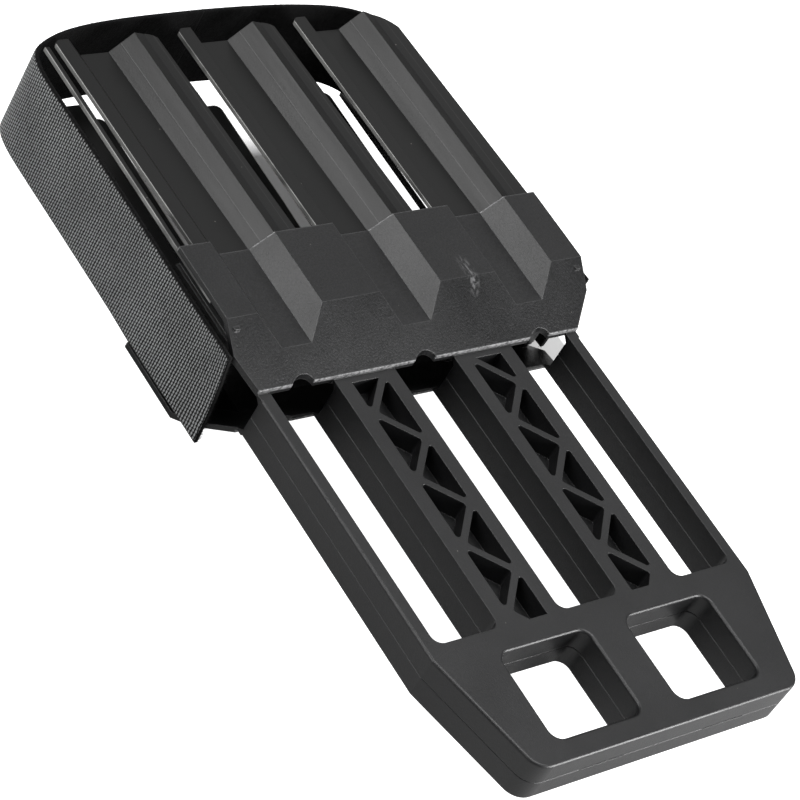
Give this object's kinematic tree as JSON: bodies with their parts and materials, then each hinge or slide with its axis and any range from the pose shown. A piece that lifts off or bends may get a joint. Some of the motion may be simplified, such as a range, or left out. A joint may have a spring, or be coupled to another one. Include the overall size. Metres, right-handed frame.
{
  "type": "ribbed kick shield frame",
  "caption": "Slotted black grip plate carrying two opposed ribbed spring leaves, closed round the edge by a hook-and-loop tape whose ends peel open.",
  "frame": {"origin": "middle of the near end face of the grip plate, on the joint plane of its two halves", "axes": "+Y from the near end to the far end, +X to the right, +Z out of the front face"},
  "size_m": [0.1726, 0.3288, 0.0518],
  "materials": {
    "grip_plastic": "fine spark-textured black",
    "leaf_plastic": "smooth satin black",
    "hook_tape": "black hook tape",
    "loop_tape": "woven back, black pile inside"
  },
  "bodies": {
    "frame": {"front_grip": "grip_plastic", "rear_grip": "grip_plastic", "front_leaf": "leaf_plastic", "rear_leaf": "leaf_plastic", "hook_patch_left": "hook_tape", "hook_patch_right": "hook_tape", "strap_band": "loop_tape"},
    "left_tape_end": {"strap_end_left": "loop_tape"},
    "right_tape_end": {"strap_end_right": "loop_tape"}
  },
  "joints": [
    {"name": "left_end_peel", "type": "hinge", "parent": "frame", "child": "left_tape_end", "pos_m": [-0.0863, 0.1998, 0], "axis": [0, 0, -1], "range_deg": [0, 100]},
    {"name": "right_end_peel", "type": "hinge", "parent": "frame", "child": "right_tape_end", "pos_m": [0.0863, 0.1998, 0], "axis": [0, 0, 1], "range_deg": [0, 100]}
  ]
}
